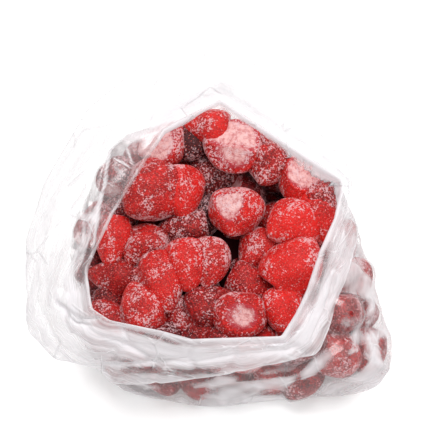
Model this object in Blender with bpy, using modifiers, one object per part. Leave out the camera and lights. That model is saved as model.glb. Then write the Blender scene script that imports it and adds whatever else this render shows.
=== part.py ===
"""An open bag of clear film, standing on its base and full of frozen strawberries.

Two solids, in metres with +Z up and the camera's side at -Y:

  film_bag       the film: floor, bulging sides, mouth, and the top folded out as a collar
  strawberries   the whole heap: a smaller core with berries of true size fused on

Positions in the tables are in millimetres from the bag's own upright axis.
"""

import math
import random

import bmesh
import bpy
from mathutils import Matrix, Vector

MM = 0.001
AXIS = Vector((2.73, -10.93, 0)) * MM  # where the bag's axis stands, to centre the whole
FILM = 0.8 * MM  # thicker than real film, so that the solid holds together
GAP = 2.2 * MM  # clear space between the film and the berries
SEGMENTS = 60  # steps round the bag

# The loops that carry the bag's shape, bottom to top: corners (x, y, z) and the
# angle in degrees over which each loop's corners are rounded off.
FLOOR = ([(98, -70, 0), (105, -58, 0), (86, 5, 0), (64, 55, 0), (0, 72, 0),
          (-55, 56, 0), (-74, 8, 0), (-70, -42, 0), (-54, -70, 0), (-2, -80, 0),
          (43, -74, 0)], 8)
BELLY = ([(102, -72, 26), (112, -63, 28), (102, -32, 29), (94, 5, 30), (74, 62, 34),
          (0, 82, 36), (-64, 70, 34), (-86, 10, 32), (-82, -46, 30), (-60, -70, 27),
          (-2, -80, 26), (44, -75, 26)], 8)
SHOULDER = ([(60, -67, 43), (93, -48, 43), (88, -8, 53), (77, 42, 72), (2, 80, 88),
             (-60, 66, 82), (-84, 10, 66), (-78, -40, 52), (-62, -65, 44), (0, -71, 43)], 7)
RIM = ([(64, -17, 78), (73, 3, 84), (77, 19, 89), (77, 25, 91), (4, 75, 106),
        (-30, 57, 100), (-42, 38, 95), (-60, 8, 85), (-75, -27, 75), (-71, -50, 68),
        (-60, -57, 66), (-30, -63, 64), (-12, -68, 63), (40, -66, 63), (49, -53, 67),
        (56, -39, 71)], 1)
HEM = ([(85, -10, 71), (89, 10, 76), (81, 44, 86), (53, 73, 98), (30, 97, 112),
        (2, 104, 118), (-45, 99, 110), (-78, 80, 92), (-103, 36, 76), (-113, 0, 64),
        (-110, -54, 50), (-93, -69, 40), (-68, -73, 37), (-59, -80, 31), (-30, -81, 34),
        (-4, -81, 39), (19, -79, 45), (42, -76, 51), (61, -72, 52), (70, -51, 58)], 2)

# The heap's surface rises towards the back: the height of berry centres on the axis,
# and how much they rise for each millimetre of y.
LEVEL, RISE = 61.0, 0.27
SLOPE = math.atan(RISE)

# Berries in the mouth: x, y, lift off the heap's surface, width, length, then the
# way the tip points (degrees round the surface, degrees up out of it).
MOUTH_BERRIES = [
    (-29, 61, 0, 26, 32, 310, -20), (14, 59, 3, 34, 38, 270, -40),
    (-6, 73, 0, 27, 34, 100, 10), (20, 76, -5, 24, 28, 20, 0),
    (3, 48, -11, 30, 34, 0, 0), (33, 52, -3, 26, 34, 265, 15),
    (51, 37, 0, 25, 29, 280, -10), (66, 33, -6, 26, 32, 300, 0),
    (46, 9, 4, 29, 33, 200, 25), (63, 17, -3, 24, 36, 290, 0),
    (47, -17, 4, 34, 40, 50, 10), (26, 0, -4, 24, 33, 240, 10),
    (13, 16, 3, 31, 34, 265, 20), (-38, 28, 4, 35, 40, 230, 25),
    (-19, 33, 1, 27, 37, 280, 0), (-19, 13, -5, 24, 37, 190, 0),
    (-43, 0, -4, 25, 29, 240, 15), (-60, 2, 0, 20, 33, 260, 0),
    (-60, -17, -6, 22, 32, 175, 0), (-62, -30, -11, 20, 24, 0, 0),
    (-43, -42, 2, 28, 33, 100, 15), (-30, -25, 4, 24, 40, 285, 5),
    (-16, -16, 5, 25, 33, 270, 10), (0, -15, 4, 24, 32, 265, 5),
    (-43, -22, -3, 18, 24, 200, 0), (23, -24, -5, 26, 34, 330, 0),
    (-18, -42, -4, 21, 28, 270, 0), (-2, -38, 0, 25, 32, 30, 0),
    (17, -44, 3, 29, 32, 280, -30), (-4, -50, -7, 22, 26, 0, 0),
    (41, -42, 2, 24, 32, 285, 5), (32, -49, -9, 18, 22, 0, 0),
    (-58, 24, -8, 22, 28, 200, 0), (60, 2, -8, 24, 34, 280, 0),
    (-5, 23, -9, 20, 28, 270, 0), (-13, 58, -12, 24, 28, 200, 0),
]

# Berries against the film, all the way round: the height of each row and the
# distance between centres along it.
WALL_ROWS = [(17, 29), (43, 27), (70, 28)]
WALL_WIDTHS, WALL_LENGTHS = (25, 31), (31, 38)
CORE_INSET = 15.0
CORE_DROP = 12.0
SEED = 11


def loop_point(loop, angle):
    """(radius, height) where the ray from the axis at this angle meets the loop."""
    corners = loop[0]
    direction = Vector((math.cos(angle), math.sin(angle)))
    for index, first in enumerate(corners):
        last = corners[(index + 1) % len(corners)]
        edge = Vector(last[:2]) - Vector(first[:2])
        across = direction.cross(edge)
        if abs(across) < 1e-9:
            continue
        along = Vector(first[:2]).cross(direction) / across
        radius = Vector(first[:2]).cross(edge) / across
        if radius > 0 and -1e-6 <= along <= 1 + 1e-6:
            return radius, first[2] + along * (last[2] - first[2])
    raise ValueError("the axis is outside this loop")


def rounded(loop, angle):
    """The same, averaged over a few nearby angles so that corners are round."""
    spread = math.radians(loop[1])
    weights = ((-1, 0.1), (-0.5, 0.2), (0, 0.4), (0.5, 0.2), (1, 0.1))
    radius = height = 0.0
    for step, weight in weights:
        r, z = loop_point(loop, angle + step * spread)
        radius += weight * r
        height += weight * z
    return Vector((radius, height))


def body_profile(angle):
    """(radius, height) down the inside of the mouth and the side of the bag, top first."""
    floor, belly = rounded(FLOOR, angle), rounded(BELLY, angle)
    shoulder, rim = rounded(SHOULDER, angle), rounded(RIM, angle)
    lip = rim + Vector((-2, -5))
    neck = Vector((rim.x + 0.25 * (shoulder.x - rim.x), rim.y + 0.55 * (shoulder.y - rim.y)))
    side = (belly + shoulder) / 2 + Vector((3, 0))
    low = (floor + belly) / 2 + Vector((2, -3))
    return [lip, neck, shoulder, side, belly, low, floor + Vector((0, 1.8))]


def body_radius(angle, height):
    """How far out the side of the bag is at this height."""
    profile = body_profile(angle)
    for upper, lower in zip(profile, profile[1:]):
        if lower.y <= height <= upper.y:
            share = (height - lower.y) / max(upper.y - lower.y, 0.01)
            return lower.x + share * (upper.x - lower.x)
    return profile[0].x if height > profile[0].y else profile[-1].x


def collar_profile(angle):
    """(radius, height) from the crest of the fold out to the collar's free edge."""
    rim, hem = rounded(RIM, angle), rounded(HEM, angle)
    rows = [rim, rim + Vector((3, -2.5))]
    for share, arch in ((0.4, 4), (0.72, 3), (1, 0)):
        rows.append(rim + share * (hem - rim) + Vector((0, arch)))
    clear = 3.0
    return rows[:2] + [Vector((max(row.x, body_radius(angle, row.y) + clear), row.y))
                       for row in rows[2:]]


def place(angle, radius, height):
    """A point of the bag in metres, from its polar place in millimetres."""
    return AXIS + Vector((radius * math.cos(angle), radius * math.sin(angle), height)) * MM


def angles(count):
    return [2 * math.pi * step / count for step in range(count)]


def skin(bm, rings):
    """Join rings of vertices, each to the next, with quads."""
    for lower, upper in zip(rings, rings[1:]):
        for here in range(len(lower)):
            after = (here + 1) % len(lower)
            bm.faces.new((lower[here], lower[after], upper[after], upper[here]))


def fan(bm, ring, centre):
    for here in range(len(ring)):
        bm.faces.new((centre, ring[(here + 1) % len(ring)], ring[here]))


def object_from(bm, name, collection):
    bmesh.ops.recalc_face_normals(bm, faces=bm.faces)
    mesh = bpy.data.meshes.new(name)
    bm.to_mesh(mesh)
    bm.free()
    obj = bpy.data.objects.new(name, mesh)
    collection.objects.link(obj)
    return obj


def film_bag(collection):
    """The film's middle surface as one open loft, given its thickness by a Solidify."""
    bm = bmesh.new()
    half = FILM / MM / 2
    rings = []
    for share in (0.4, 0.9):
        rings.append([bm.verts.new(place(a, share * rounded(FLOOR, a).x, half))
                      for a in angles(SEGMENTS)])
    columns = [list(reversed(body_profile(a))) + collar_profile(a) for a in angles(SEGMENTS)]
    for row in range(len(columns[0])):
        rings.append([bm.verts.new(place(a, column[row].x, column[row].y + half))
                      for a, column in zip(angles(SEGMENTS), columns)])
    skin(bm, rings)
    fan(bm, rings[0], bm.verts.new(place(0, 0, half)))
    bag = object_from(bm, "film_bag", collection)
    thickness = bag.modifiers.new("film thickness", "SOLIDIFY")
    thickness.thickness = FILM
    thickness.offset = 0
    return bag


def inset_profile(angle):
    """body_profile moved inwards, off the film, and on up through the mouth; lowest first."""
    profile = body_profile(angle)
    inset = (FILM / 2 + GAP) / MM
    moved = []
    for index, point in enumerate(profile):
        before, after = profile[max(index - 1, 0)], profile[min(index + 1, len(profile) - 1)]
        down = (after - before).normalized()
        moved.append(point + inset * Vector((down.y, -down.x)))
    above = Vector((min(moved[0].x, profile[0].x - inset), 140))
    below = Vector((moved[-1].x - 4, (FILM + GAP) / MM))
    moved[-1].y += inset
    return [below] + moved[::-1] + [above]


def inner_space(collection):
    """Everything inside the film, less the gap, open upwards through the mouth."""
    bm = bmesh.new()
    columns = [inset_profile(a) for a in angles(SEGMENTS)]
    rings = [[bm.verts.new(place(a, column[row].x, column[row].y))
              for a, column in zip(angles(SEGMENTS), columns)]
             for row in range(len(columns[0]))]
    skin(bm, rings)
    for ring in (rings[0], rings[-1]):
        bm.faces.new(ring)
    return object_from(bm, "inner space", collection)


def core(collection):
    """The berries that nobody sees, as one block under and behind the visible ones."""
    bm = bmesh.new()
    rings = []
    for height in (12, 36, None):
        ring = []
        for a in angles(24):
            z = height
            if height is None:
                reach = rounded(RIM, a).x - CORE_INSET
                z = LEVEL + RISE * reach * math.sin(a) - CORE_DROP
            else:
                reach = body_radius(a, height) - CORE_INSET
            ring.append(bm.verts.new(place(a, reach, z)))
        rings.append(ring)
    skin(bm, rings)
    for ring in (rings[0], rings[-1]):
        bm.faces.new(ring)
    bmesh.ops.triangulate(bm, faces=bm.faces)
    return object_from(bm, "core", collection)


def berry(centre, tip, width, length, sides, collection):
    """A hulled strawberry: full at the cut shoulder, narrowing to a blunt tip."""
    bm = bmesh.new()
    bmesh.ops.create_uvsphere(bm, u_segments=sides, v_segments=sides - 2, radius=1)
    for vert in bm.verts:
        y, z, along = vert.co
        girth = 1.06 - 0.24 * along - 0.1 * along * along
        vert.co = Vector((max(along, -0.82) * length / 2, y * girth * width / 2,
                          z * girth * width / 2)) * MM
    side = tip.cross(Vector((0.13, 0.21, 1))).normalized()
    turn = Matrix((tip, side, tip.cross(side))).transposed()
    bm.transform(Matrix.Translation(centre) @ turn.to_4x4())
    return object_from(bm, "berry", collection)


def mouth_berries(collection):
    right = Vector((1, 0, 0))
    uphill = Vector((0, math.cos(SLOPE), math.sin(SLOPE)))
    out = right.cross(uphill)
    for x, y, lift, width, length, heading, nod in MOUTH_BERRIES:
        turn, rise = math.radians(heading), math.radians(nod)
        tip = (right * math.cos(turn) + uphill * math.sin(turn)) * math.cos(rise)
        tip += out * math.sin(rise)
        centre = AXIS + Vector((x, y, LEVEL + RISE * y + lift)) * MM
        berry(centre, tip, width, length, 8, collection)


def wall_berries(collection):
    draw = random.Random(SEED)
    for row, (height, spacing) in enumerate(WALL_ROWS):
        reach = sum(body_radius(a, height) for a in angles(12)) / 12 - 15
        count = round(2 * math.pi * reach / spacing)
        for angle in angles(count):
            angle += (row % 2) * math.pi / count + draw.uniform(-0.05, 0.05)
            width, length = draw.uniform(*WALL_WIDTHS), draw.uniform(*WALL_LENGTHS)
            z = height + draw.uniform(-3, 3)
            radius = body_radius(angle, z) - 0.52 * width
            lean = draw.uniform(-1.2, 1.2)
            top = LEVEL + RISE * radius * math.sin(angle)
            if z > top + 4:
                continue
            outward = Vector((math.cos(angle), math.sin(angle), 0))
            along = outward.cross(Vector((0, 0, 1)))
            tip = along * math.cos(lean) + Vector((0, 0, math.sin(lean)))
            berry(place(angle, radius, z), tip, width, length, 6, collection)


def applied(obj, operation, other):
    """One exact Boolean on obj, with an object or a whole collection, then made permanent."""
    cut = obj.modifiers.new("boolean", "BOOLEAN")
    cut.operation = operation
    cut.solver = "EXACT"
    if isinstance(other, bpy.types.Collection):
        cut.operand_type = "COLLECTION"
        cut.collection = other
    else:
        cut.object = other
    graph = bpy.context.evaluated_depsgraph_get()
    mesh = bpy.data.meshes.new_from_object(obj.evaluated_get(graph))
    obj.modifiers.remove(cut)
    obj.data = mesh


def keep_largest_piece(obj):
    """Drop pockets closed in between berries, and any berry that touches no other."""
    bm = bmesh.new()
    bm.from_mesh(obj.data)
    left = set(bm.faces)
    pieces = []
    while left:
        piece, edge = set(), [left.pop()]
        while edge:
            face = edge.pop()
            piece.add(face)
            near = {other for side in face.edges for other in side.link_faces} & left
            left -= near
            edge.extend(near)
        pieces.append(piece)
    pieces.sort(key=len)
    for piece in pieces[:-1]:
        bmesh.ops.delete(bm, geom=list(piece), context="FACES")
    bm.to_mesh(obj.data)
    bm.free()
    obj.data.update()


def strawberries(collection):
    berries = bpy.data.collections.new("berries")
    collection.children.link(berries)
    mouth_berries(berries)
    wall_berries(berries)
    heap = core(collection)
    heap.name = "strawberries"
    space = inner_space(collection)
    applied(heap, "UNION", berries)
    applied(heap, "INTERSECT", space)
    keep_largest_piece(heap)
    for helper in list(berries.objects) + [space]:
        bpy.data.objects.remove(helper)
    bpy.data.collections.remove(berries)
    return heap


def material(name, colour, roughness, alpha=1.0):
    made = bpy.data.materials.new(name)
    made.use_nodes = True
    shader = made.node_tree.nodes["Principled BSDF"]
    shader.inputs["Base Color"].default_value = (*colour, 1)
    shader.inputs["Roughness"].default_value = roughness
    shader.inputs["Alpha"].default_value = alpha
    made.diffuse_color = (*colour, alpha)
    return made


def main():
    for obj in list(bpy.data.objects):
        bpy.data.objects.remove(obj)
    collection = bpy.context.scene.collection
    bag = film_bag(collection)
    bag.data.materials.append(material("clear film", (0.86, 0.86, 0.88), 0.2, 0.35))
    heap = strawberries(collection)
    heap.data.materials.clear()
    heap.data.materials.append(material("frozen strawberry", (0.52, 0.05, 0.06), 0.6))


main()
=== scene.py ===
"""A clear film bag, open at the top and full of frozen strawberries.

The frame gives the plain solids. This script replaces both: the film becomes a thin,
creased, hazy sheet folded out round the mouth, and the heap becomes whole hulled
strawberries with seeds and frost. Lengths are in millimetres until a mesh is made.
"""

import math
import random

import bmesh
import bpy
import numpy as np
from mathutils import Matrix, Vector, noise
from mathutils.bvhtree import BVHTree

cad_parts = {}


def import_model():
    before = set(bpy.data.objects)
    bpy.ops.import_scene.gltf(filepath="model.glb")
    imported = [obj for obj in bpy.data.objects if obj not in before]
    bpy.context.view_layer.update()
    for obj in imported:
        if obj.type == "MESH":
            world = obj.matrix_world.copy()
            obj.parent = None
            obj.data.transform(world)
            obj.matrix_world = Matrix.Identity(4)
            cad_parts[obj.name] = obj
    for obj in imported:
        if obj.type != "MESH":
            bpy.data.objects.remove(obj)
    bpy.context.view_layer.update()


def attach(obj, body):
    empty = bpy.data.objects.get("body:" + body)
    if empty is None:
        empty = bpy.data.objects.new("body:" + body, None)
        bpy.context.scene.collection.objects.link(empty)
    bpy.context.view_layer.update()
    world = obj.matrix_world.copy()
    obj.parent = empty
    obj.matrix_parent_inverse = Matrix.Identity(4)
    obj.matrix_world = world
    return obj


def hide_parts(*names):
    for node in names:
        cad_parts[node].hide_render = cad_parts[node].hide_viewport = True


MM = 0.001
AXIS = np.array((2.73, -10.93, 0.0))  # the bag's own upright axis
SEED = 11

# The camera: height of its sight line, distance and aim, and the photo's scale there
ELEVATION = math.radians(55)
DISTANCE = 800.0
AIM = np.array((8.9, 11.2, 50.0))
PHOTO_SIDE = 447
MM_PER_PIXEL = 0.62

# Soft light from all round, and two lamps: place, size in metres and power in watts
SKY_LIGHT = 0.78
LAMPS = (("key", (120, 200, 1000), 0.5, 5.0), ("fill", (500, -500, 800), 0.9, 1.5))
FLOOR_GLOW = 0.21

# The loops that carry the bag's shape, bottom to top: corners (x, y, z) from the
# bag's axis, and the angle in degrees over which the corners are rounded off
FLOOR = ([(98, -70, 0), (105, -58, 0), (86, 5, 0), (64, 55, 0), (0, 72, 0),
          (-55, 56, 0), (-74, 8, 0), (-70, -42, 0), (-54, -70, 0), (-2, -80, 0),
          (43, -74, 0)], 8)
BELLY = ([(102, -72, 26), (112, -63, 28), (102, -32, 29), (94, 5, 30), (74, 62, 34),
          (0, 82, 36), (-64, 70, 34), (-86, 10, 32), (-82, -46, 30), (-60, -70, 27),
          (-2, -80, 26), (44, -75, 26)], 8)
SHOULDER = ([(60, -67, 43), (93, -48, 43), (88, -8, 53), (77, 42, 72), (2, 80, 88),
             (-60, 66, 82), (-84, 10, 66), (-78, -40, 52), (-62, -65, 44), (0, -71, 43)], 7)
RIM = ([(64, -17, 78), (73, 3, 84), (77, 19, 89), (77, 25, 91), (4, 75, 106),
        (-30, 57, 100), (-42, 38, 95), (-60, 8, 85), (-75, -27, 75), (-71, -50, 68),
        (-60, -57, 66), (-30, -63, 64), (-12, -68, 63), (40, -66, 63), (49, -53, 67),
        (56, -39, 71)], 1)
HEM = ([(85, -10, 71), (89, 10, 76), (81, 44, 86), (53, 73, 98), (30, 97, 112),
        (2, 104, 118), (-45, 99, 110), (-78, 80, 92), (-103, 36, 76), (-113, 0, 64),
        (-110, -54, 50), (-93, -69, 40), (-68, -73, 37), (-59, -80, 31), (-30, -81, 34),
        (-4, -81, 39), (19, -79, 45), (42, -76, 51), (61, -72, 52), (70, -51, 58)], 2)

# The heap's surface rises towards the back: the height of berry centres on the axis,
# and how much they rise for each millimetre of y
LEVEL, RISE = 61.0, 0.27
SLOPE = math.atan(RISE)

# Berries in the mouth: x, y, lift off the heap's surface, width, length, the way the tip points
# (degrees round the surface, degrees up out of it), then how red it is, whose low and negative
# values also paint shade on berries that lie in shade among the others, and how frosted, from 0 to 1
MOUTH_BERRIES = [
    (-31, 58, 7, 26, 36, 50, 0, 0.6, 0.6), (14, 58, 7, 34, 40, 75, -50, 0.6, 0.6),
    (-3, 68, 9, 24, 32, 170, 0, 0.75, 0.35), (31, 56, 3, 22, 32, 330, 0, 0.4, 0.5),
    (0, 50, -12, 30, 36, 0, 0, 0.0, 0.8), (34, 45, 5, 25, 30, 250, 15, 0.4, 0.5),
    (52, 36, 5, 25, 32, 250, -10, 0.8, 0.4), (64.5, 23, 4.5, 20, 26, 310, 0, 0.35, 0.5),
    (47, 9, 4, 27, 36, 215, 20, 1.0, 0.15), (63, 16, 0, 24, 38, 290, 0, 0.75, 0.3),
    (47, -17, 4, 34, 44, 50, 10, 0.9, 0.1), (26, -2, -5, 24, 34, 240, 10, 0.6, 0.3),
    (13, 16, 4, 30, 34, 265, 20, 0.75, 0.6), (-38, 28, 4, 37, 44, 230, 25, 0.5, 0.3),
    (-20, 31, 2, 27, 38, 280, 0, 0.85, 0.2), (-19, 13, -6, 24, 38, 190, 0, 0.2, 0.7),
    (-43, 0, -4, 25, 31, 240, 15, 0.5, 0.5), (-60, 2, 0, 20, 36, 260, 0, 0.75, 0.2),
    (-60, -17, -6, 22, 34, 175, 0, 0.3, 0.3), (-62, -30, -11, 20, 26, 0, 0, 0.0, 0.4),
    (-43, -42, 2, 29, 36, 110, 15, 0.6, 0.5), (-30, -25, 4, 25, 42, 285, 5, 0.65, 0.3),
    (-16, -16, 5, 26, 36, 270, 10, 0.8, 0.3), (-2, -14, 4, 23, 34, 265, 5, 0.6, 0.8),
    (-43, -22, -3, 18, 26, 200, 0, 0.4, 0.8), (23, -24, -5, 26, 36, 330, 0, 0.4, 0.4),
    (-18, -42, -4, 21, 30, 270, 0, 0.3, 0.7), (-2, -38, 0, 25, 34, 30, 0, 0.2, 0.3),
    (17, -44, 3, 29, 34, 90, -68, 0.6, 0.35), (-4, -50, -7, 22, 28, 0, 0, 0.3, 0.4),
    (41, -42, 2, 24, 34, 285, 5, 0.9, 0.45), (32, -49, -9, 18, 24, 0, 0, 0.3, 0.6),
    (-58, 24, -8, 22, 30, 200, 0, 0.0, 0.4), (60, 2, -8, 24, 36, 280, 0, 0.0, 0.4),
    (-5, 23, -12, 20, 30, 270, 0, -0.3, 0.5), (-17, 63, 0, 24, 32, 200, 0, -0.3, 0.3),
]
# Berries that were sliced: their place in the list, the way the cut face looks (right,
# uphill, out of the heap) and how far from the middle it lies, as a share of the width
SLICED = {0: ((-0.55, 0.1, 0.8), 0.16), 1: ((0.0, 0.2, 1.0), 0.3),
          6: ((0.4, 0.1, 0.9), 0.24), 12: ((-0.3, -0.1, 0.95), 0.38)}

# The rest of the fruit, which fills the bag up to the film: how many berries, and their
# widths and lengths
HIDDEN_COUNT = 88
HIDDEN_WIDTHS, HIDDEN_LENGTHS = (24, 30), (29, 36)
FLOOR_CLEAR = 1.5  # the lowest that a berry comes, over the film that it rests on
PACK_ROUNDS = 260  # how often the hidden berries drift outwards and push each other apart
TABLE_ANGLES, TABLE_STEP = 72, 4  # the table of the bag's reach: angles, and mm of height
CORE_HALVES, CORE_PLACE = (46, 34, 15), (4, -2, 34)  # the unseen middle, from the axis
SEED_PITCH = 3.0  # distance between a strawberry's seeds
SEED_HALVES = (0.5, 0.28, 0.2)  # half a seed's length, width and thickness
PIT_DEPTH, PIT_RADIUS = 0.4, 0.8  # the pit that a seed sits in
FINE, PLAIN, COARSE = 6, 5, 4  # how finely berries are cut: on top, lower down, hidden

# The film: its thickness, its clearance off the fruit, and its grid
FILM_THICKNESS = 0.15
FILM_OFF_FRUIT = 0.9
COLUMNS = 400
ROWS_PER_SPAN = (2, 3, 3, 4, 9, 9, 11, 11, 11, 5, 4, 4, 16, 13, 13)
FLOOR_EDGE, CREST = 4, 11  # where these lie among the profile's knots
ROUND = 85.0  # typical radius, which turns an angle into a length round the bag
SMOOTH_SHARE = 0.4  # how much of the creasing is left where the collar lies smooth, behind
# The body's film is clear on the fruit and frosted where it stands off: gap and milkiness
FROST_GAPS, FROST_MILK = (1.2, 3.0, 7.0), (0.05, 0.22, 0.42)

# Folds in the film: from (degrees round, mm out from the crest of the fold) to another
# such place, then the width of the mark, how much milkier it is, and how high it stands
FOLDS = [
    # Out from the mouth's near left corner, where the film stands up in a point
    (221, 1, 205, 23, 0.9, 0.8, 2.4), (219, 9, 205, 23, 0.8, 0.8, 2.0),
    (220, 5, 207, 20, 2.0, 0.1, -0.6),
    # Across the front of the collar
    (229, 3, 257, 6, 1.6, -0.45, 0), (227, 1, 234, 11, 1.0, 0.3, 1.0),
    (225, 12, 243, 18, 1.1, 0.35, 1.4), (243, 18, 284, 8, 1.1, 0.3, 1.2),
    (226, 32, 249, 19, 1.4, 0.5, 1.8), (249, 19, 284, 11, 1.4, 0.45, 1.6),
    (284, 11, 306, 14, 1.4, 0.4, 1.4), (230, 25, 238, 23, 1.5, -0.5, -0.5),
    (234, 31, 250, 25, 2.6, -0.6, -0.8), (250, 25, 274, 21, 2.0, -0.6, -0.8),
    (236, 12, 270, 9, 4.0, 0.25, 0), (244, 40, 268, 29, 1.2, 0.4, 0),
    # Up the right side: a clear strip at the crest, then a broad white band
    (352, 3, 330, 2.5, 2.2, -0.35, 0), (330, 2.5, 303, 4, 2.4, -0.35, 0),
    (14, 8, 340, 13, 5.5, 0.5, 0.8), (340, 13, 304, 14, 5.5, 0.5, 0.8),
    # Over the bulge at the left, with straight creases that meet at a point
    (122, 4, 150, 9, 9.0, -0.6, 0), (150, 9, 176, 11, 11.0, -0.6, 0),
    (176, 11, 206, 8, 9.0, -0.6, 0),
    (142, 24, 162, 13, 0.9, 0.9, 1.5), (162, 13, 198, 1, 0.9, 0.9, 1.5),
    (146, 19, 144, 1, 1.0, 0.8, 1.2), (138, 16, 144, 1, 1.0, 0.7, 1.0),
    (152, 16, 200, 5, 1.0, 0.5, 1.0), (166, 22, 192, 8, 1.0, 0.4, 0.8),
    (128, -14, 204, -12, 14.0, -0.9, 0), (128, -34, 204, -30, 14.0, -0.9, 0),
    # On the side of the bag: milky bands low at the front, and creases on the corner
    (272, -46, 304, -40, 5.5, 0.9, 0), (304, -40, 318, -41, 4.2, 0.9, 0),
    (282, -57, 304, -60, 3.5, 0.6, 0),
    (345, -55, 331, -48, 1.1, 0.45, 1.2), (331, -48, 320, -48, 1.1, 0.45, 1.2),
    (319, -44, 324, -54, 1.1, 0.45, 1.2), (324, -54, 329, -89, 1.1, 0.45, 1.2),
    (334, -55, 331, -58, 1.1, 0.45, 1.2), (331, -58, 325, -65, 1.1, 0.45, 1.2),
    # Windows on the side, where the film lies tight on the fruit
    (0, -36, 350, -46, 5.0, -0.5, 0), (337, -35, 332, -41, 4.0, -0.5, 0),
    (330, -33, 318, -32, 2.6, -0.6, 0), (334, -57, 330, -60, 4.5, -0.5, 0),
    (324, -51, 324, -64, 8.0, -0.6, 0), (318, -48, 314, -60, 8.0, -0.6, 0),
    (331, -67, 329, -91, 7.0, -0.4, 0), (279, -34, 311, -32, 1.8, -0.8, 0),
    (300, -55, 310, -56, 2.5, -0.8, 0), (235, -58, 249, -55, 3.0, -0.8, 0),
    (249, -55, 262, -41, 3.0, -0.8, 0), (232, -41, 248, -31, 6.0, -0.6, 0),
    (248, -31, 272, -29, 5.0, -0.6, 0),
]


# Shape of the bag

def loop_point(loop, angle):
    """(radius, height) where the ray from the axis at this angle meets the loop."""
    corners = loop[0]
    direction = Vector((math.cos(angle), math.sin(angle)))
    for index, first in enumerate(corners):
        last = corners[(index + 1) % len(corners)]
        edge = Vector(last[:2]) - Vector(first[:2])
        across = direction.cross(edge)
        if abs(across) < 1e-9:
            continue
        along = Vector(first[:2]).cross(direction) / across
        radius = Vector(first[:2]).cross(edge) / across
        if radius > 0 and -1e-6 <= along <= 1 + 1e-6:
            return radius, first[2] + along * (last[2] - first[2])
    raise ValueError("the axis is outside this loop")


def rounded(loop, angle):
    """The same, averaged over a few nearby angles so that corners are round."""
    spread = math.radians(loop[1])
    weights = ((-1, 0.1), (-0.5, 0.2), (0, 0.4), (0.5, 0.2), (1, 0.1))
    radius = height = 0.0
    for step, weight in weights:
        r, z = loop_point(loop, angle + step * spread)
        radius += weight * r
        height += weight * z
    return Vector((radius, height))


def body_profile(angle):
    """(radius, height) down the inside of the mouth and the side of the bag, top first."""
    floor, belly = rounded(FLOOR, angle), rounded(BELLY, angle)
    shoulder, rim = rounded(SHOULDER, angle), rounded(RIM, angle)
    lip = rim + Vector((-2, -5))
    neck = Vector((rim.x + 0.25 * (shoulder.x - rim.x), rim.y + 0.55 * (shoulder.y - rim.y)))
    side = (belly + shoulder) / 2 + Vector((3, 0))
    low = (floor + belly) / 2 + Vector((2, -3))
    return [lip, neck, shoulder, side, belly, low, floor + Vector((0, 1.8))]


def body_radius(angle, height):
    """How far out the side of the bag is at this height."""
    profile = body_profile(angle)
    for upper, lower in zip(profile, profile[1:]):
        if lower.y <= height <= upper.y:
            share = (height - lower.y) / max(upper.y - lower.y, 0.01)
            return lower.x + share * (upper.x - lower.x)
    return profile[0].x if height > profile[0].y else profile[-1].x


def collar_profile(angle):
    """(radius, height) from the crest of the fold out to the collar's free edge."""
    rim, hem = rounded(RIM, angle), rounded(HEM, angle)
    rows = [rim, rim + Vector((3, -2.5))]
    for share, arch in ((0.4, 4), (0.72, 3), (1, 0)):
        rows.append(rim + share * (hem - rim) + Vector((0, arch)))
    clear = 3.0
    return rows[:2] + [Vector((max(row.x, body_radius(angle, row.y) + clear), row.y))
                       for row in rows[2:]]


def angles(count):
    return [2 * math.pi * step / count for step in range(count)]


def place(angle, radius, height):
    return AXIS + np.array((radius * math.cos(angle), radius * math.sin(angle), height))


# Meshes

def mesh_from(bm, name, smooth=True):
    mesh = bpy.data.meshes.new(name)
    bm.to_mesh(mesh)
    bm.free()
    mesh.polygons.foreach_set("use_smooth", [smooth] * len(mesh.polygons))
    return mesh


def object_of(mesh):
    obj = bpy.data.objects.new(mesh.name, mesh)
    bpy.context.scene.collection.objects.link(obj)
    return obj


def give(mesh, name, values):
    """Store a number or a vector for each vertex, for the material to read."""
    values = np.asarray(values, np.float32)
    kind, field = ("FLOAT", "value") if values.ndim == 1 else ("FLOAT_VECTOR", "vector")
    layer = mesh.attributes.new(name, kind, "POINT")
    layer.data.foreach_set(field, values.ravel())


def normals_of(mesh):
    normals = np.empty(len(mesh.vertices) * 3, np.float32)
    mesh.vertex_normals.foreach_get("vector", normals)
    return normals.reshape(-1, 3).astype(float)


def joined(name, parts):
    """One object from several meshes, keeping each one's attributes."""
    objects = [object_of(mesh) for mesh in parts]
    with bpy.context.temp_override(active_object=objects[0], object=objects[0],
                                   selected_editable_objects=objects,
                                   selected_objects=objects):
        bpy.ops.object.join()
    objects[0].name = name
    return objects[0]


# Strawberries

def berry_turn(tip):
    """Columns: the berry's tip direction and two directions across it."""
    tip = np.asarray(tip, float) / np.linalg.norm(tip)
    side = np.cross(tip, (0.13, 0.21, 1))
    side /= np.linalg.norm(side)
    return np.column_stack((tip, side, np.cross(tip, side)))


def spiral(count):
    """Points spread evenly over a unit sphere, pole to pole."""
    step = np.arange(count) + 0.5
    z = 1 - 2 * step / count
    turn = step * math.pi * (3 - math.sqrt(5))
    flat = np.sqrt(1 - z * z)
    return np.column_stack((z, flat * np.cos(turn), flat * np.sin(turn)))


def lumps(unit, draw, count, reach, size):
    """A smooth uneven swelling over the sphere, from a few seeded waves."""
    total = np.zeros(len(unit))
    for _ in range(count):
        way = np.array([draw.gauss(0, 1) for _ in range(3)])
        way *= reach / np.linalg.norm(way)
        total += np.sin(unit @ way + draw.uniform(0, 6.28))
    return total * size / math.sqrt(count)


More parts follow.
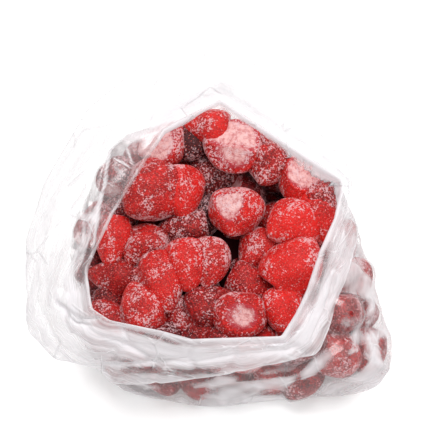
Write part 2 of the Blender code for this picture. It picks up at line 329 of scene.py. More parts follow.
def berry_shape(unit, width, length, draw_state):
    """Where the points of a unit sphere go on a strawberry, tip along +X."""
    draw = random.Random(draw_state)
    along = unit[:, 0]
    taper = draw.uniform(0.26, 0.42)
    flat = draw.uniform(0.84, 1.0)
    girth = 1.06 - taper * along - 0.14 * along ** 2
    girth *= 1 + lumps(unit, draw, 5, 2.6, 0.12) + lumps(unit, draw, 6, 6.0, 0.045)
    hull = -0.80 + draw.uniform(-0.03, 0.05)
    # The hull was cut out, which leaves a shallow dish at the wide end
    ring = np.hypot(unit[:, 1], unit[:, 2])
    dish = 0.06 * np.clip(1 - (ring / 0.42) ** 2, 0, 1)
    flattened = np.maximum(along, hull + 0.05 * ring) + dish * (along < hull + 0.1)
    bend = 0.06 * (along ** 2) * draw.choice((-1, 1))
    return np.column_stack((flattened * length / 2,
                            (unit[:, 1] * girth + bend) * width / 2,
                            unit[:, 2] * girth * flat * width / 2))


def smooth_step(values, low, high):
    share = np.clip((values - low) / (high - low), 0, 1)
    return share * share * (3 - 2 * share)


class Berry:
    """One strawberry: its mesh, and where its seeds sit."""

    def __init__(self, number, centre, tip, width, length, redness_and_shade, frost, level, cut=None):
        looks = random.Random(number)
        bm = bmesh.new()
        bmesh.ops.create_icosphere(bm, subdivisions=level, radius=1)
        unit = np.array([vert.co[:] for vert in bm.verts])
        turn = berry_turn(tip)
        local = berry_shape(unit, width, length, SEED + number)
        count = int(math.pi * (width + length) ** 2 / 4 / SEED_PITCH ** 2)
        seeds = spiral(count)
        seeds += np.array([[looks.gauss(0, 0.04) for _ in range(3)] for _ in range(count)])
        seeds /= np.linalg.norm(seeds, axis=1)[:, None]
        seeds = seeds[seeds[:, 0] > -0.72]
        inward = -local / np.linalg.norm(local, axis=1)[:, None]
        if level >= PLAIN:
            nearest = np.full(len(unit), 9.0)
            for seed in seeds:
                away = np.linalg.norm(unit - seed, axis=1) * (width + length) / 4
                nearest = np.minimum(nearest, away)
            local += inward * (PIT_DEPTH * np.exp(-(nearest / PIT_RADIUS) ** 2))[:, None]
        world = local @ turn.T + np.asarray(centre)
        ring = np.hypot(unit[:, 1], unit[:, 2])
        flesh = smooth_step(-unit[:, 0], 0.72, 0.84) * smooth_step(-ring, -0.6, -0.2)
        way = turn[:, 0]
        if cut:
            way, share = np.array(cut[0]) / np.linalg.norm(cut[0]), cut[1]
            above = (world - np.asarray(centre)) @ way - share * width
            over = np.clip(above, 0, None)
            world = world - (way * (0.9 * over)[:, None])
            flesh = np.maximum(flesh, smooth_step(over, 0.1, 0.55 * over.max()))
            seeds = seeds[(berry_shape(seeds, width, length, SEED + number) @ turn.T) @ way
                          < share * width - 0.5]
        world[:, 2] += max(0, FLOOR_CLEAR - world[:, 2].min())
        for vert, point in zip(bm.verts, world):
            vert.co = point * MM
        self.mesh = mesh_from(bm, "berry")
        self.centre, self.world = np.asarray(centre), world
        self.width, self.length, self.level = width, length, level
        self.normals = normals_of(self.mesh)
        patches = np.array([noise.noise(Vector(p) / 11 + Vector((number, 0, 0)))
                            + 0.5 * noise.noise(Vector(p) / 4) for p in world])
        give(self.mesh, "frost", np.clip(frost - 0.05 + 1.1 * patches, 0, 1))
        give(self.mesh, "flesh", flesh)
        # How red the berry is: its own redness, and at the low end also painted shade for fruit in
        # shade
        give(self.mesh, "redness_and_shade", np.full(len(world), redness_and_shade))
        spoke = world - self.centre
        spoke -= (spoke @ way)[:, None] * way
        give(self.mesh, "spoke", spoke / np.maximum(np.linalg.norm(spoke, axis=1), 0.5)[:, None])
        self.seed_places = [int(np.argmin(np.sum((unit - seed) ** 2, axis=1))) for seed in seeds]
        self.tip = turn[:, 0]


def heap_directions():
    right = np.array((1.0, 0, 0))
    uphill = np.array((0, math.cos(SLOPE), math.sin(SLOPE)))
    return right, uphill, np.cross(right, uphill)


def mouth_berries():
    right, uphill, out = heap_directions()
    made = []
    for number, (x, y, lift, width, length, heading, nod, redness_and_shade, frost) in enumerate(MOUTH_BERRIES):
        turn, rise = math.radians(heading), math.radians(nod)
        tip = (right * math.cos(turn) + uphill * math.sin(turn)) * math.cos(rise)
        tip = tip + out * math.sin(rise)
        centre = AXIS + np.array((x, y, LEVEL + RISE * y + lift))
        level = FINE if lift > -3.5 else PLAIN
        cut = SLICED.get(number)
        if cut:
            face = right * cut[0][0] + uphill * cut[0][1] + out * cut[0][2]
            cut = (face, cut[1])
        made.append(Berry(number, centre, tip, width, length, redness_and_shade, frost, level, cut))
    return made


def reach_table():
    """How far out the bag's side is, at angles round the bag and heights up it."""
    return np.array([[body_radius(angle, TABLE_STEP * step) for step in range(28)]
                     for angle in angles(TABLE_ANGLES)])


def packed_centres(mouth, sizes):
    """Where the hidden berries lie: balls that drift to the film and push each other apart."""
    draw = random.Random(SEED)
    table = reach_table()
    fixed = np.array([berry.centre - AXIS for berry in mouth])
    girths = np.array([(berry.width + berry.length) / 4 for berry in mouth] + list(sizes))
    spots = np.array([(draw.uniform(-75, 75), draw.uniform(-60, 60), draw.uniform(14, 60))
                      for _ in sizes])
    held = len(fixed)
    for _ in range(PACK_ROUNDS):
        every = np.vstack((fixed, spots))
        gap = every[:, None] - every[None]
        apart = np.linalg.norm(gap, axis=2) + 1e-6
        wanted = 0.94 * (girths[:, None] + girths[None])
        push = np.clip(wanted - apart, 0, None) / apart
        np.fill_diagonal(push, 0)
        spots = spots + 0.35 * np.einsum("ij,ijk->ik", push, gap)[held:]
        flat = np.hypot(spots[:, 0], spots[:, 1]) + 1e-6
        spots[:, :2] *= (1 + 0.5 / flat)[:, None]
        cover = 16 - 11 * np.clip((flat - 48) / 20, 0, 1)
        spots[:, 2] = np.clip(spots[:, 2], sizes + 1.5, LEVEL + RISE * spots[:, 1] - cover)
        turns = np.degrees(np.arctan2(spots[:, 1], spots[:, 0])) % 360 / (360 / TABLE_ANGLES)
        steps = np.clip(spots[:, 2] / TABLE_STEP, 0, 26.9)
        low = steps.astype(int)
        near = table[np.rint(turns).astype(int) % TABLE_ANGLES]
        reach = near[np.arange(len(low)), low] * (1 - steps + low)
        reach += near[np.arange(len(low)), low + 1] * (steps - low)
        flat = np.hypot(spots[:, 0], spots[:, 1]) + 1e-6
        spots[:, :2] *= np.minimum(1, (reach - 0.97 * sizes) / flat)[:, None]
    return spots


def hidden_berries(mouth):
    draw = random.Random(SEED + 1)
    widths = np.array([draw.uniform(*HIDDEN_WIDTHS) for _ in range(HIDDEN_COUNT)])
    lengths = np.array([draw.uniform(*HIDDEN_LENGTHS) for _ in range(HIDDEN_COUNT)])
    made = []
    for number, spot in enumerate(packed_centres(mouth, (widths + lengths) / 4)):
        outward = np.array((spot[0], spot[1], 0)) / np.hypot(spot[0], spot[1])
        along = np.cross(outward, (0, 0, 1))
        lean = draw.uniform(-1.2, 1.2)
        tip = along * math.cos(lean) + np.array((0, 0, math.sin(lean))) + 0.25 * outward
        # Hidden berries get only the low end of the red scale, which paints them dark as shade
        # inside the bag
        made.append(Berry(100 + number, spot + AXIS, tip, widths[number], lengths[number],
                          draw.uniform(0.0, 0.5), draw.uniform(0.1, 0.5), COARSE))
    return made


def core():
    """The fruit that nobody sees, as one lump in the middle of the bag, painted near black as shade.
    """
    bm = bmesh.new()
    bmesh.ops.create_icosphere(bm, subdivisions=4, radius=1)
    bmesh.ops.scale(bm, vec=Vector(CORE_HALVES) * MM, verts=bm.verts)
    bmesh.ops.rotate(bm, matrix=Matrix.Rotation(SLOPE, 3, "X"), verts=bm.verts)
    bmesh.ops.translate(bm, vec=Vector(AXIS + CORE_PLACE) * MM, verts=bm.verts)
    return object_of(mesh_from(bm, "hidden_fruit"))


def seeds_on(berry):
    """The seeds in a berry's pits, on the side that can be seen."""
    bm = bmesh.new()
    for index in berry.seed_places:
        out = berry.normals[index]
        if out @ heap_directions()[2] < -0.1:
            continue
        along = berry.tip - out * (berry.tip @ out)
        along /= max(np.linalg.norm(along), 1e-6)
        turn = np.column_stack((along, np.cross(out, along), out)) * SEED_HALVES
        matrix = Matrix((turn * MM).tolist()).to_4x4()
        matrix.translation = Vector((berry.world[index] + out * 0.12) * MM)
        bmesh.ops.create_icosphere(bm, subdivisions=1, radius=1, matrix=matrix)
    return mesh_from(bm, "seeds", smooth=False)


# The film

def spline(knots, counts):
    """Catmull-Rom through the knots, with so many steps in each span."""
    knots = np.asarray(knots, float)
    padded = np.vstack((2 * knots[0] - knots[1], knots, 2 * knots[-1] - knots[-2]))
    out = []
    for span, count in enumerate(counts):
        a, b, c, d = padded[span:span + 4]
        for step in range(count):
            t = step / count
            out.append(0.5 * (2 * b + (c - a) * t + (2 * a - 5 * b + 4 * c - d) * t * t
                              + (3 * b - a - 3 * c + d) * t ** 3))
    out.append(knots[-1])
    return np.array(out)


def film_grid():
    """Rows of points from the middle of the floor up, over the fold and down the collar."""
    columns = []
    for angle in angles(COLUMNS):
        floor = rounded(FLOOR, angle).x
        knots = [(share * floor, 0.3) for share in (0.04, 0.35, 0.7, 0.93)]
        knots += list(reversed(body_profile(angle))) + collar_profile(angle)
        profile = spline([tuple(knot) for knot in knots], ROWS_PER_SPAN)
        columns.append([place(angle, r, max(z, 0.3)) for r, z in profile])
    return np.array(columns).transpose(1, 0, 2)


def grid_normals(grid):
    around = np.roll(grid, -1, 1) - np.roll(grid, 1, 1)
    up = np.gradient(grid, axis=0)
    normals = np.cross(around, up)
    return normals / np.maximum(np.linalg.norm(normals, axis=2), 1e-9)[:, :, None]


def knot_row(knot):
    return sum(ROWS_PER_SPAN[:knot])


def from_crest(grid):
    """How far along the film each point lies from the crest: out is positive, down inside not."""
    steps = np.linalg.norm(np.diff(grid, axis=0, prepend=grid[:1]), axis=2)
    along = np.cumsum(steps, axis=0)
    return along - along[knot_row(CREST)]


def settle_on_fruit(grid, berries, rounds=16):
    """Pull the body film tight, and keep it outside every berry that it touches.

    The second result is how far each point is off the fruit in the end.
    """
    points, faces, start = [], [], 0
    for berry in berries:
        points.extend(berry.world)
        faces.extend([tuple(start + v for v in face.vertices) for face in berry.mesh.polygons])
        start += len(berry.world)
    tree = BVHTree.FromPolygons([Vector(p) for p in points], faces)
    first, last = knot_row(FLOOR_EDGE) + 2, knot_row(CREST) - 2
    for _ in range(rounds):
        middle = (np.roll(grid, 1, 1) + np.roll(grid, -1, 1)) / 2
        vertical = grid.copy()
        vertical[1:-1] = (grid[:-2] + grid[2:]) / 2
        relaxed = (middle + vertical) / 2
        grid[first:last] += 0.8 * (relaxed - grid)[first:last]
        for row in range(first, last):
            for column in range(grid.shape[1]):
                point = Vector(grid[row, column])
                found, normal, _, _ = tree.find_nearest(point, 9.0)
                if found is None:
                    continue
                above = (point - found).dot(normal)
                if above < FILM_OFF_FRUIT:
                    grid[row, column] += np.array(normal * (FILM_OFF_FRUIT - above))
    gap = np.full(grid.shape[:2], 9.0)
    for row in range(knot_row(FLOOR_EDGE), last):
        for column in range(grid.shape[1]):
            gap[row, column] = tree.find_nearest(Vector(grid[row, column]), 9.0)[3] or 9.0
    return grid, gap


def ridges(point, seed):
    """Sharp-crested noise from 0 to 1, as creases in film run."""
    value = noise.noise(Vector(point) + Vector((seed * 7.3, seed * 3.1, 0)))
    return (1 - min(abs(value) * 2.2, 1)) ** 2


def straight_creases(point):
    """1 on the edges between the flat facets of crumpled film, 0 inside them."""
    nearest = noise.voronoi(Vector(point))[0]
    return max(0, 1 - (nearest[1] - nearest[0]) / 0.22)


def fold_marks(along, fold):
    """How strongly a fold marks each point: 1 on its line, fading over its width."""
    start, end = np.array(fold[:2], float), np.array(fold[2:4], float)
    middle = (start[0] + end[0]) / 2
    turns = np.degrees(angles(COLUMNS))
    turns = middle + (turns - middle + 180) % 360 - 180
    scale = np.array((math.radians(ROUND), 1))
    here = np.stack(np.broadcast_arrays(turns * scale[0], along), -1)
    span = (end - start) * scale
    share = np.clip((here - start * scale) @ span / (span @ span), 0, 1)
    away = np.linalg.norm(here - start * scale - share[..., None] * span, axis=-1)
    return np.exp(-(away / fold[4]) ** 2) * (1 - (2 * share - 1) ** 6)


def front_share():
    """How much of the creasing each column of the grid has: all at the front, less behind."""
    turns = np.array(angles(COLUMNS))
    return SMOOTH_SHARE + (1 - SMOOTH_SHARE) * smooth_step(-np.sin(turns), -0.15, 0.4)


def crease(grid, gap):
    """Raise the folds, with long creases along the collar and a finer crumple all over.

    The second result is how milky the film is at each point, from 0 to 1.
    """
    normals, along = grid_normals(grid), from_crest(grid)
    front = front_share()
    rows, columns = grid.shape[:2]
    height, milk_lines = np.zeros((rows, columns)), np.zeros((rows, columns))
    for row in range(knot_row(FLOOR_EDGE) + 1, rows):
        for column in range(columns):
            turn = 2 * math.pi * column / columns
            x, y = math.cos(turn), math.sin(turn)
            t = along[row, column]
            fine = ridges((x * 3.4, y * 3.4, t / 4.5), 2) * 0.5
            crumple = straight_creases(grid[row, column] / 26)
            if row > knot_row(CREST):
                long = ridges((x * 1.6, y * 1.6, t / 10), 1)
                amount = min(t / 6, 1)
                amount *= front[column]
                height[row, column] = amount * (1.4 * long + 0.6 * fine + 1.3 * crumple)
            else:
                amount = min(-t / 12, 1) * min((row - knot_row(FLOOR_EDGE)) / 6, 1)
                height[row, column] = amount * (0.2 * fine + 0.9 * crumple)
                milk_lines[row, column] = 0.25 * amount * crumple
    # The milky strip at the fold reaches over the fruit by 2 to 9 mm, unevenly
    sway = np.array([noise.noise(Vector((2.6 * math.cos(turn), 2.6 * math.sin(turn), 4)))
                     for turn in angles(COLUMNS)])
    inside = np.where(along < 0, along / (1.4 + 1.5 * sway), along)
    milk = np.interp(inside, [-4, -1.5, 1, 3], [0.0, 0.5, 0.5, 0.34]) * np.where(along > 0, front, 1)
    milk += np.interp(gap, FROST_GAPS, FROST_MILK) * (along < 0)
    milk += milk_lines + 0.4 * np.exp(-((along[-1] - along) / 1.2) ** 2)
    for fold in FOLDS:
        mark = fold_marks(along, fold)
        milk += mark * fold[5]
        height += mark * fold[6]
    grid = grid + normals * height[:, :, None]
    grid[:, :, 2] = np.maximum(grid[:, :, 2], 0.3)
    return grid, np.clip(milk, -0.6, 1)


def film(berries):
    grid, milk = crease(*settle_on_fruit(film_grid(), berries))
    bm = bmesh.new()
    ring = bmesh.ops.create_circle(bm, cap_ends=False, segments=COLUMNS, radius=1)["verts"]
    ring.sort(key=lambda vert: math.atan2(vert.co.y, vert.co.x) % (2 * math.pi))
    order = [ring]
    for _ in range(1, len(grid)):
        low = order[-1]
        edges = [bm.edges.get((vert, low[(i + 1) % COLUMNS])) for i, vert in enumerate(low)]
        grown = bmesh.ops.extrude_edge_only(bm, edges=edges)["geom"]
        fresh = {item for item in grown if isinstance(item, bmesh.types.BMVert)}
        order.append([next(e.other_vert(v) for e in v.link_edges if e.other_vert(v) in fresh)
                      for v in low])
    for points, verts in zip(grid, order):
        for point, vert in zip(points, verts):
            vert.co = point * MM
    bmesh.ops.holes_fill(bm, edges=[bm.edges.get((v, order[0][(i + 1) % COLUMNS]))
                                    for i, v in enumerate(order[0])])
    bmesh.ops.recalc_face_normals(bm, faces=bm.faces)
    bm.verts.index_update()
    where = np.array([vert.index for verts in order for vert in verts])
    mesh = mesh_from(bm, "film")
    along = from_crest(grid)
    turns = np.array(angles(COLUMNS))
    lay = np.stack(np.broadcast_arrays(np.cos(turns) * ROUND, np.sin(turns) * ROUND, along), -1)
    back = np.argsort(where)
    give(mesh, "haze", milk.ravel()[back])
    give(mesh, "collar", (np.clip(along / 3, 0, 1) * front_share()).ravel()[back])
    give(mesh, "lay", lay.reshape(-1, 3)[back] * MM)
    obj = object_of(mesh)
    thickness = obj.modifiers.new("film thickness", "SOLIDIFY")
    thickness.thickness = FILM_THICKNESS * MM
    thickness.offset = 1
    return obj


# Materials

def linear(code):
    """An sRGB hex colour as the linear values that a shader takes."""
    parts = [int(code[i:i + 2], 16) / 255 for i in (1, 3, 5)]
    return tuple(p / 12.92 if p <= 0.04045 else ((p + 0.055) / 1.055) ** 2.4 for p in parts) + (1,)


def new_material(name):
    made = bpy.data.materials.new(name)
    made.use_nodes = True
    made.node_tree.nodes.clear()
    return made


def add(material, kind, inputs=(), **settings):
    """Add a node: inputs, by name, number or order, take a value or the socket to link."""
    node = material.node_tree.nodes.new(kind)
    for key, value in settings.items():
        setattr(node, key, value)
    pairs = inputs.items() if isinstance(inputs, dict) else enumerate(inputs)
    for key, value in pairs:
        if isinstance(value, bpy.types.NodeSocket):
            material.node_tree.links.new(value, node.inputs[key])
        else:
            node.inputs[key].default_value = value
    return node.outputs


# What the nodes below are given in order: a Map Range takes a value, its range and the
# range that it becomes, and a Mix takes its share at 0 and its two colours at 6 and 7
SMOOTH = {"interpolation_type": "SMOOTHSTEP"}
COLOUR = {"data_type": "RGBA"}


def strawberry_skin():
    """Frozen strawberry: deep red skin under grains of frost, with painted shade on berries in shade
    and in the skin's pits, and a painted sheen of frost round its outline.
    """
    made = new_material("frozen strawberry skin")
    place_in = add(made, "ShaderNodeTexCoord")["Object"]
    redness_and_shade = add(made, "ShaderNodeAttribute", attribute_name="redness_and_shade")["Fac"]
    frost = add(made, "ShaderNodeAttribute", attribute_name="frost")["Fac"]
    flesh = add(made, "ShaderNodeAttribute", attribute_name="flesh")["Fac"]
    spoke = add(made, "ShaderNodeAttribute", attribute_name="spoke")["Vector"]
    # The red is darker and lighter in blotches of about 9 mm
    blotch = add(made, "ShaderNodeTexNoise",
                 {"Vector": place_in, "Scale": 1 / 0.009, "Detail": 3.0})[0]
    blotch = add(made, "ShaderNodeMath", (blotch, 0.5), operation="SUBTRACT")[0]
    tone_and_shade = add(made, "ShaderNodeMath", (redness_and_shade, blotch), operation="ADD")[0]
    # Between the grains of frost the skin is painted darker, as shade down in its pits, and lighter
    # on the grains' tops
    grains = add(made, "ShaderNodeTexNoise",
                 {"Vector": place_in, "Scale": 1 / 0.0009, "Detail": 1.0, "Roughness": 0.6})[0]
    painted_grain_shading = add(made, "ShaderNodeMapRange", (grains, 0.3, 0.7, -0.38, 0.22), **SMOOTH)[0]
    tone_and_shade = add(made, "ShaderNodeMath", (tone_and_shade, painted_grain_shading), operation="ADD")[0]
    # Low tones run to near-black red, painted shade for berries in shade and in the pits; high tones
    # run to bright red
    ripeness_and_shade = add(made, "ShaderNodeMapRange", (tone_and_shade, -0.45, 1.2, 0.0, 1.0), **SMOOTH)[0]
    skin = add(made, "ShaderNodeMix",
               {0: ripeness_and_shade, 6: linear("#3E040A"), 7: linear("#DE1D17")}, **COLOUR)[2]
    # Cut flesh: red under the skin, then pink, and palest at the core, mottled, with
    # fibres that fan out from it
    fibres = add(made, "ShaderNodeTexNoise",
                 {"Vector": spoke, "Scale": 2.6, "Detail": 3.0, "Roughness": 0.7})[0]
    fibres = add(made, "ShaderNodeMapRange", (fibres, 0.3, 0.7, -0.12, 0.12), **SMOOTH)[0]
    mottle = add(made, "ShaderNodeTexNoise",
                 {"Vector": place_in, "Scale": 1 / 0.0032, "Detail": 4.0, "Roughness": 0.7})[0]
    mottle = add(made, "ShaderNodeMapRange", (mottle, 0.32, 0.68, -0.4, 0.3), **SMOOTH)[0]
    depth = add(made, "ShaderNodeMath", (fibres, mottle), operation="ADD")[0]
    depth = add(made, "ShaderNodeMath", (flesh, depth), operation="ADD")[0]
    pallor = add(made, "ShaderNodeMapRange", (depth, 0.1, 1.4, 0.0, 1.0), **SMOOTH)[0]
    pale = add(made, "ShaderNodeMix",
               {0: pallor, 6: linear("#B02A34"), 7: linear("#EAB9B6")}, **COLOUR)[2]
    cut = add(made, "ShaderNodeMapRange", (flesh, 0.0, 0.18, 0.0, 1.0), **SMOOTH)[0]
    skin = add(made, "ShaderNodeMix", {0: cut, 6: skin, 7: pale}, **COLOUR)[2]
    # Frost: grains of about 1 mm, drawn a little coarser than real so that they show
    crystals = add(made, "ShaderNodeTexVoronoi", {"Vector": place_in, "Scale": 1 / 0.0013})
    crystals = add(made, "ShaderNodeMapRange", (crystals["Color"], 0.1, 0.9, -0.18, 0.18),
                   **SMOOTH)[0]
    # Frost is painted whiter where the skin is seen at a glance, round each berry's outline: a
    # painted sheen added to the real frost
    facing = add(made, "ShaderNodeLayerWeight", {"Blend": 0.35})["Facing"]
    cover = add(made, "ShaderNodeMath", (frost, 0.3), operation="MULTIPLY")[0]
    edge = add(made, "ShaderNodeMath", (facing, 0.27), operation="MULTIPLY")[0]
    for more in (edge, grains, crystals):
        cover = add(made, "ShaderNodeMath", (cover, more), operation="ADD")[0]
    frost_and_edge_sheen = add(made, "ShaderNodeMapRange", (cover, 0.75, 0.93, 0.0, 0.7), **SMOOTH)[0]
    colour = add(made, "ShaderNodeMix", {0: frost_and_edge_sheen, 6: skin, 7: linear("#E0BDC1")}, **COLOUR)[2]
    rough = add(made, "ShaderNodeMapRange", (frost_and_edge_sheen, 0.0, 0.7, 0.42, 0.8), **SMOOTH)[0]
    bump = add(made, "ShaderNodeBump",
               {"Height": grains, "Strength": 1.0, "Distance": 0.0007})[0]
    shader = add(made, "ShaderNodeBsdfPrincipled",
                 {"Base Color": colour, "Normal": bump, "Roughness": rough,
                  "Specular IOR Level": 0.3})[0]
    add(made, "ShaderNodeOutputMaterial", {"Surface": shader})
    return made


def seed_husk():
    """Strawberry seed: a dry straw-coloured husk, redder where the juice has stained it."""
    made = new_material("strawberry seed husk")
    place_in = add(made, "ShaderNodeTexCoord")["Object"]
    tint = add(made, "ShaderNodeTexNoise", {"Vector": place_in, "Scale": 1 / 0.006})[0]
    colour = add(made, "ShaderNodeMix",
                 {0: tint, 6: linear("#AE2226"), 7: linear("#D4705E")}, **COLOUR)[2]
    shader = add(made, "ShaderNodeBsdfPrincipled", {"Base Color": colour, "Roughness": 0.55})[0]
    add(made, "ShaderNodeOutputMaterial", {"Surface": shader})
    return made


def painted_shade_fruit():
    """Frozen fruit deep in the bag, painted near black as shade, since hardly any light comes there,
    and dull.
    """
    made = new_material("frozen fruit in painted shade")
    place_in = add(made, "ShaderNodeTexCoord")["Object"]
    blotch = add(made, "ShaderNodeTexNoise", {"Vector": place_in, "Scale": 1 / 0.012})[0]
    colour = add(made, "ShaderNodeMix",
                 {0: blotch, 6: linear("#180103"), 7: linear("#3A060A")}, **COLOUR)[2]
    shader = add(made, "ShaderNodeBsdfPrincipled",
                 {"Base Color": colour, "Roughness": 0.8, "Specular IOR Level": 0.1})[0]
    add(made, "ShaderNodeOutputMaterial", {"Surface": shader})
    return made


def clear_film():
    """Polythene film: clear and glossy where taut, milky where creased or in layers."""
    made = new_material("clear polythene film")
    place_in = add(made, "ShaderNodeTexCoord")["Object"]
    lay = add(made, "ShaderNodeAttribute", attribute_name="lay")["Vector"]
    haze = add(made, "ShaderNodeAttribute", attribute_name="haze")["Fac"]
    collar = add(made, "ShaderNodeAttribute", attribute_name="collar")["Fac"]
    # Long stretch marks parallel to the rim, where the film was pulled over the fold:
    # soft ones 3.5 mm across, and thin threads of light among them
    drawn = add(made, "ShaderNodeMapping",
                {"Vector": lay, "Scale": (1 / 0.06, 1 / 0.06, 1 / 0.0035)})[0]
    marks = add(made, "ShaderNodeTexNoise",
                {"Vector": drawn, "Scale": 1.0, "Detail": 3.0, "Roughness": 0.6})[0]
    streak = add(made, "ShaderNodeMapRange", (marks, 0.35, 0.68, -0.14, 0.22), **SMOOTH)[0]
    pulled = add(made, "ShaderNodeMapping",
                 {"Vector": lay, "Scale": (1 / 0.045, 1 / 0.045, 1 / 0.006)})[0]
    thread = add(made, "ShaderNodeTexNoise",
                 {"Vector": pulled, "Scale": 1.0, "Detail": 1.0, "Distortion": 0.4})[0]
    thread = add(made, "ShaderNodeMath", (thread, 0.5), operation="SUBTRACT")[0]
    thread = add(made, "ShaderNodeMath", (thread,), operation="ABSOLUTE")[0]
    thread = add(made, "ShaderNodeMapRange", (thread, 0.0, 0.016, 0.36, 0.0), **SMOOTH)[0]
    on_collar = add(made, "ShaderNodeMath", (streak, thread), operation="ADD")[0]
    on_collar = add(made, "ShaderNodeMath", (on_collar, collar), operation="MULTIPLY")[0]
    # On the body, milky patches and facets where the film stands off the fruit
    spread = add(made, "ShaderNodeMapping",
                 {"Vector": lay, "Scale": (1 / 0.034, 1 / 0.034, 1 / 0.011)})[0]
    cloud = add(made, "ShaderNodeTexNoise",
                {"Vector": spread, "Scale": 1.0, "Detail": 2.0, "Distortion": 0.5})[0]
    cloud = add(made, "ShaderNodeMapRange", (cloud, 0.34, 0.66, -0.16, 0.14), **SMOOTH)[0]
    facet = add(made, "ShaderNodeTexVoronoi",
                {"Vector": place_in, "Scale": 1 / 0.028, "Smoothness": 0.5},
                feature="SMOOTH_F1")["Color"]
    facet = add(made, "ShaderNodeMapRange", (facet, 0.3, 0.7, -0.16, 0.18), **SMOOTH)[0]
    off_collar = add(made, "ShaderNodeMath", (1.0, collar), operation="SUBTRACT")[0]
    on_body = add(made, "ShaderNodeMath", (cloud, facet), operation="ADD")[0]
    on_body = add(made, "ShaderNodeMath", (on_body, off_collar), operation="MULTIPLY")[0]
    # A crumple of straight creases 28 mm apart, broken up, each a thin milky line
    crease_line = add(made, "ShaderNodeTexVoronoi", {"Vector": place_in, "Scale": 1 / 0.028},
                      feature="DISTANCE_TO_EDGE")["Distance"]
    crease_line = add(made, "ShaderNodeMapRange", (crease_line, 0.0, 0.03, 1.0, 0.0),
                      **SMOOTH)[0]
    broken = add(made, "ShaderNodeTexNoise",
                 {"Vector": place_in, "Scale": 1 / 0.018, "Detail": 1.0})[0]
    broken = add(made, "ShaderNodeMapRange", (broken, 0.46, 0.58, 0.0, 1.0), **SMOOTH)[0]
    crease_line = add(made, "ShaderNodeMath", (crease_line, broken), operation="MULTIPLY")[0]
    crumple = add(made, "ShaderNodeMath", (crease_line, 0.3), operation="MULTIPLY")[0]
    share = haze
    for more in (on_collar, on_body, crumple):
        share = add(made, "ShaderNodeMath", (share, more), operation="ADD")[0]
    share = add(made, "ShaderNodeMath", (share, 0.9), operation="MINIMUM")[0]
    share = add(made, "ShaderNodeMath", (share, 0.02), operation="MAXIMUM")[0]
    # The same marks as relief
    relief = add(made, "ShaderNodeMath", (thread, 0.5), operation="MULTIPLY")[0]
    relief = add(made, "ShaderNodeMath", (marks, relief), operation="ADD")[0]
    relief = add(made, "ShaderNodeMath", (relief, collar), operation="MULTIPLY")[0]
    relief = add(made, "ShaderNodeMath", (relief, crease_line), operation="ADD")[0]
    bump = add(made, "ShaderNodeBump",
               {"Height": relief, "Strength": 0.5, "Distance": 0.001})[0]
    # Milky film scatters light both back and through
    white = linear("#F0EEF0")
    bounced = add(made, "ShaderNodeBsdfDiffuse", {"Color": white, "Normal": bump})[0]
    through = add(made, "ShaderNodeBsdfTranslucent", {"Color": white, "Normal": bump})[0]
    milky = add(made, "ShaderNodeMixShader", (0.35, bounced, through))[0]
    # A thin sheet mirrors alike from both sides, a little face on and more at a glance
    facing = add(made, "ShaderNodeLayerWeight", {"Blend": 0.5, "Normal": bump})["Facing"]
    mirror = add(made, "ShaderNodeMath", (facing, 5.0), operation="POWER")[0]
    mirror = add(made, "ShaderNodeMath", (mirror, 0.32), operation="MULTIPLY")[0]
    mirror = add(made, "ShaderNodeMath", (mirror, 0.035), operation="ADD")[0]
    gloss = add(made, "ShaderNodeBsdfGlossy",
                {"Color": linear("#FFFFFF"), "Roughness": 0.2, "Normal": bump})[0]
    clear = add(made, "ShaderNodeBsdfTransparent", {"Color": linear("#FCFCFC")})[0]
    sheet = add(made, "ShaderNodeMixShader", (mirror, clear, gloss))[0]
    whole = add(made, "ShaderNodeMixShader", (share, sheet, milky))[0]
    add(made, "ShaderNodeOutputMaterial", {"Surface": whole})
    return made


# Studio

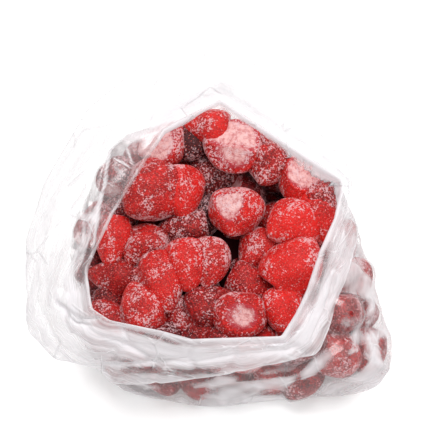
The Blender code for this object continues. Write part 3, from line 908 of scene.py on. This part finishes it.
def studio():
    scene = bpy.context.scene
    back = np.array((0, -math.cos(ELEVATION), math.sin(ELEVATION)))
    data = bpy.data.cameras.new("camera")
    focal_pixels = DISTANCE / MM_PER_PIXEL
    data.lens = focal_pixels / PHOTO_SIDE * data.sensor_width
    camera = bpy.data.objects.new("camera", data)
    camera.location = Vector((AIM + back * DISTANCE) * MM)
    camera.rotation_euler = (math.pi / 2 - ELEVATION, 0, 0)
    scene.collection.objects.link(camera)
    scene.camera = camera

    bm = bmesh.new()
    bmesh.ops.create_grid(bm, x_segments=1, y_segments=1, size=4)
    floor = object_of(mesh_from(bm, "floor", smooth=False))
    # A light table: it glows a little, so that shadows on it stay pale
    table = new_material("opal acrylic light table")
    shader = add(table, "ShaderNodeBsdfPrincipled",
                 {"Base Color": linear("#EDEDED"), "Roughness": 1.0, "Specular IOR Level": 0.0,
                  "Emission Color": linear("#FFFFFF"), "Emission Strength": FLOOR_GLOW})[0]
    add(table, "ShaderNodeOutputMaterial", {"Surface": shader})
    floor.data.materials.append(table)

    world = bpy.data.worlds.new("soft white")
    scene.world = world
    world.use_nodes = True
    world.node_tree.nodes["Background"].inputs["Color"].default_value = (1, 1, 1, 1)
    world.node_tree.nodes["Background"].inputs["Strength"].default_value = SKY_LIGHT

    for name, where, size, power in LAMPS:
        light = bpy.data.lights.new(name, "AREA")
        light.size, light.energy = size, power
        lamp = bpy.data.objects.new(name, light)
        lamp.location = Vector(where) * MM
        lamp.rotation_euler = (Vector(where)).to_track_quat("Z", "Y").to_euler()
        scene.collection.objects.link(lamp)
    scene.view_settings.view_transform = "Standard"
    scene.cycles.transparent_max_bounces = 32


def main():
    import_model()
    studio()

    mouth = mouth_berries()
    hidden = hidden_berries(mouth)
    tops = [berry for berry in mouth if berry.level == FINE]
    deep = [berry for berry in mouth if berry.level == PLAIN]
    pieces = [joined(f"mouth_berries_{part + 1}", [b.mesh for b in tops[part::3]])
              for part in range(3)]
    pieces.append(joined("deep_berries", [b.mesh for b in deep]))
    pieces += [joined(f"hidden_berries_{part + 1}", [b.mesh for b in hidden[part::3]])
               for part in range(3)]
    skin = strawberry_skin()
    for piece in pieces:
        piece.data.materials.append(skin)
    seeds = joined("seeds", [seeds_on(berry) for berry in mouth])
    seeds.data.materials.append(seed_husk())
    middle = core()
    middle.data.materials.append(painted_shade_fruit())
    for piece in pieces + [seeds, middle]:
        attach(piece, "root")
        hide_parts("strawberries")

    sheet = film(hidden + mouth)
    sheet.data.materials.append(clear_film())
    sheet.visible_shadow = False
    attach(sheet, "root")
    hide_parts("film_bag")


main()
